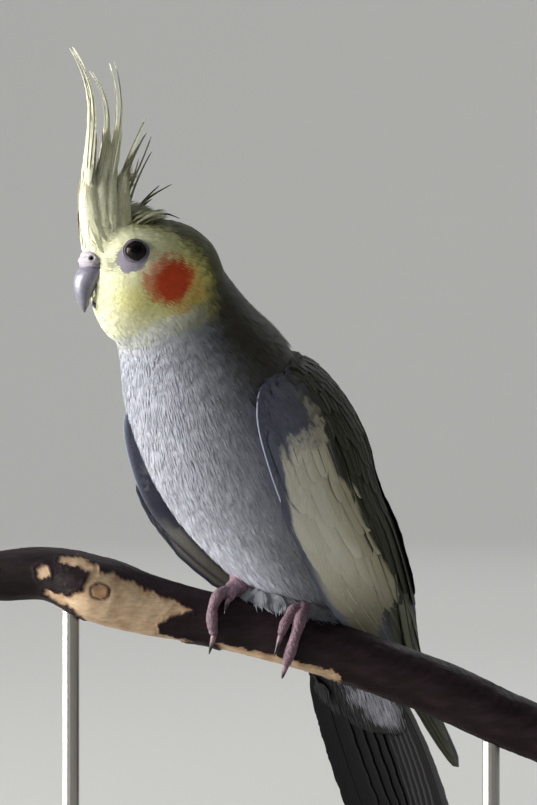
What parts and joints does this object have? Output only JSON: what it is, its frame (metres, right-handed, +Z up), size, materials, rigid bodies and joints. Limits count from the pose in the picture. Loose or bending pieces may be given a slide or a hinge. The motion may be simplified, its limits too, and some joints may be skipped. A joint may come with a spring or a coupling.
{
  "type": "cockatiel on a perch",
  "caption": "Life-size grey cockatiel with a yellow face, orange cheek patches and a raised crest, gripping a short cut branch on a plain display stand.",
  "frame": {"origin": "centre of the underside of the stand's base", "axes": "+Z up, X along the branch, with the bird's breast towards -Y and its head turned towards -X"},
  "size_m": [0.2144, 0.1448, 0.3558],
  "materials": {
    "grey_plumage": "soft grey body feathers",
    "yellow_plumage": "soft pale yellow feathers",
    "wing_plumage": "smooth dark grey flight feathers with a white patch",
    "tail_plumage": "smooth blackish tail feathers",
    "bill_horn": "smooth slate-grey horn",
    "cere_skin": "soft bare pinkish-grey skin",
    "eye": "wet glossy dark brown",
    "foot_skin": "scaly pinkish-grey skin",
    "claw_horn": "smooth dark horn",
    "bark": "smooth dark bark with peeled tan wood",
    "stand": "satin dark stained wood",
    "rod": "brushed steel"
  },
  "bodies": {
    "root": {"head": "yellow_plumage", "crest": "yellow_plumage", "neck": "grey_plumage", "trunk": "grey_plumage", "wing_left": "wing_plumage", "wing_right": "wing_plumage", "tail": "tail_plumage", "eye_left": "eye", "eye_right": "eye", "cere": "cere_skin", "bill_upper": "bill_horn", "bill_lower": "bill_horn", "leg_left": "foot_skin", "leg_right": "foot_skin", "foot_left": "foot_skin", "foot_right": "foot_skin", "claw_left_1": "claw_horn", "claw_left_2": "claw_horn", "claw_left_3": "claw_horn", "claw_left_4": "claw_horn", "claw_right_1": "claw_horn", "claw_right_2": "claw_horn", "claw_right_3": "claw_horn", "claw_right_4": "claw_horn", "perch": "bark", "stand_base": "stand", "stand_rod_left": "rod", "stand_rod_right": "rod"}
  },
  "joints": []
}
